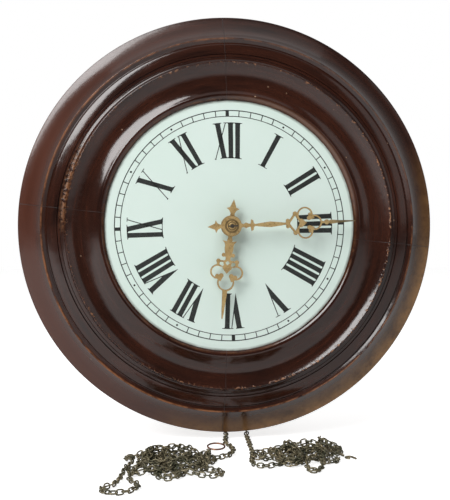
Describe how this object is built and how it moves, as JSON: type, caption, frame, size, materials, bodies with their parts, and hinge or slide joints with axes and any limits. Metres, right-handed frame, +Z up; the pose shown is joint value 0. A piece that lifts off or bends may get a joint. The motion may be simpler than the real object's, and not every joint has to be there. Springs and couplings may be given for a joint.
{
  "type": "wall clock",
  "caption": "Round turned mahogany wall clock with a white Roman dial, pierced brass hands, a chain-driven pendulum movement in a small case, and loose chain ends.",
  "frame": {"origin": "centre of the hanger hole, on the wall plane at the back of the hanger plate", "axes": "+X to the viewer's right, -Y out of the wall towards the room, +Z up; the dial's axis is 95 mm below the origin"},
  "size_m": [0.4, 0.2855, 0.407],
  "materials": {
    "mahogany": "French-polished dark mahogany, worn to orange along the arrises",
    "beech": "plain planed softwood, oiled",
    "enamel": "white painted sheet iron dial, slightly glossy, black numerals",
    "brass": "dull movement brass",
    "hand_brass": "stamped and pierced brass, dulled, with dark cut edges",
    "steel": "plain bright steel",
    "chain_iron": "dull olive-brown tarnished wire links",
    "copper": "tarnished copper ring"
  },
  "bodies": {
    "case": {"surround_moulding": "mahogany", "surround_screws": "brass", "backing_board": "beech", "dial_plate": "enamel", "dial_backing": "beech", "dial_clips": "brass", "case_back": "beech", "case_top": "beech", "case_bottom": "beech", "case_rails": "beech", "case_screws": "steel", "hanger_plate": "steel", "case_hinges": "brass", "seat_board": "beech", "seat_bolts": "steel", "movement_front_plate": "brass", "movement_back_plate": "brass", "movement_pillars": "brass", "pillar_nuts": "steel", "suspension_cock": "brass", "cock_screws": "steel", "minute_stud": "steel", "chain_over_sprocket": "chain_iron", "chain_left": "chain_iron", "chain_left_pile": "chain_iron", "chain_ring": "copper", "chain_right": "chain_iron", "chain_right_pile": "chain_iron", "chain_end_hook": "chain_iron"},
    "left_door": {"left_door": "beech", "left_door_knob": "brass", "left_door_hinges": "brass"},
    "right_door": {"right_door": "beech", "right_door_knob": "brass", "right_door_hinges": "brass"},
    "minute_train": {"centre_arbor": "steel", "centre_wheel": "brass", "cannon_pinion": "brass", "minute_hand": "hand_brass", "hand_collet": "hand_brass", "hand_pin": "steel"},
    "hour_train": {"hour_wheel": "brass", "hour_hand": "hand_brass"},
    "minute_wheel": {"minute_wheel": "brass"},
    "great_train": {"great_arbor": "steel", "great_wheel": "brass", "click_spring": "steel"},
    "chain_drum": {"chain_sprocket": "steel", "ratchet_wheel": "brass"},
    "click": {"click": "steel"},
    "third_train": {"third_arbor": "steel", "third_wheel": "brass"},
    "escape_train": {"escape_arbor": "steel", "escape_wheel": "brass"},
    "anchor_set": {"anchor_arbor": "steel", "anchor": "steel", "crutch": "steel"},
    "pendulum": {"pendulum_rod": "steel", "pendulum_bob": "brass"},
    "rating_nut": {"rating_nut": "brass"}
  },
  "joints": [
    {"name": "left_door_swing", "type": "hinge", "parent": "case", "child": "left_door", "pos_m": [-0.0776, -0.01, -0.125], "axis": [0, 0, 1], "range_deg": [-95, 0]},
    {"name": "right_door_swing", "type": "hinge", "parent": "case", "child": "right_door", "pos_m": [0.0776, -0.01, -0.125], "axis": [0, 0, 1], "range_deg": [0, 95]},
    {"name": "minute_turn", "type": "hinge", "parent": "case", "child": "minute_train", "pos_m": [0, -0.1, -0.095], "axis": [0, 1, 0], "continuous": true},
    {"name": "hour_turn", "type": "hinge", "parent": "case", "child": "hour_train", "pos_m": [0, -0.115, -0.095], "axis": [0, 1, 0], "continuous": true},
    {"name": "minute_wheel_turn", "type": "hinge", "parent": "case", "child": "minute_wheel", "pos_m": [-0.01032, -0.105, -0.10974], "axis": [0, 1, 0], "continuous": true},
    {"name": "great_turn", "type": "hinge", "parent": "case", "child": "great_train", "pos_m": [0.01, -0.076, -0.1254], "axis": [0, 1, 0], "continuous": true},
    {"name": "winding_turn", "type": "hinge", "parent": "great_train", "child": "chain_drum", "pos_m": [0.01, -0.07, -0.1254], "axis": [0, 1, 0], "range_deg": [0, 17]},
    {"name": "click_lift", "type": "hinge", "parent": "great_train", "child": "click", "pos_m": [0.00636, -0.0657, -0.10828], "axis": [0, 1, 0], "range_deg": [-11.5, 0]},
    {"name": "third_turn", "type": "hinge", "parent": "case", "child": "third_train", "pos_m": [-0.012, -0.076, -0.07193], "axis": [0, 1, 0], "continuous": true},
    {"name": "escape_turn", "type": "hinge", "parent": "case", "child": "escape_train", "pos_m": [0, -0.076, -0.05398], "axis": [0, 1, 0], "continuous": true},
    {"name": "pendulum_swing", "type": "hinge", "parent": "case", "child": "pendulum", "pos_m": [0, -0.0382, -0.03276], "axis": [0, 1, 0], "range_deg": [-3, 3]},
    {"name": "anchor_rock", "type": "hinge", "parent": "case", "child": "anchor_set", "pos_m": [0, -0.076, -0.03276], "axis": [0, 1, 0], "range_deg": [-3, 3]},
    {"name": "rating_nut_turn", "type": "hinge", "parent": "pendulum", "child": "rating_nut", "pos_m": [0, -0.0382, -0.21876], "axis": [0, 0, 1], "continuous": true}
  ],
  "couplings": [
    {"joint": "hour_turn", "follows": "minute_turn", "ratio": 0.083333},
    {"joint": "minute_wheel_turn", "follows": "minute_turn", "ratio": -0.33333},
    {"joint": "great_turn", "follows": "minute_turn", "ratio": -0.11111},
    {"joint": "third_turn", "follows": "minute_turn", "ratio": -12},
    {"joint": "escape_turn", "follows": "minute_turn", "ratio": 150},
    {"joint": "click_lift", "follows": "winding_turn", "ratio": -0.65},
    {"joint": "anchor_rock", "follows": "pendulum_swing", "ratio": 1}
  ]
}
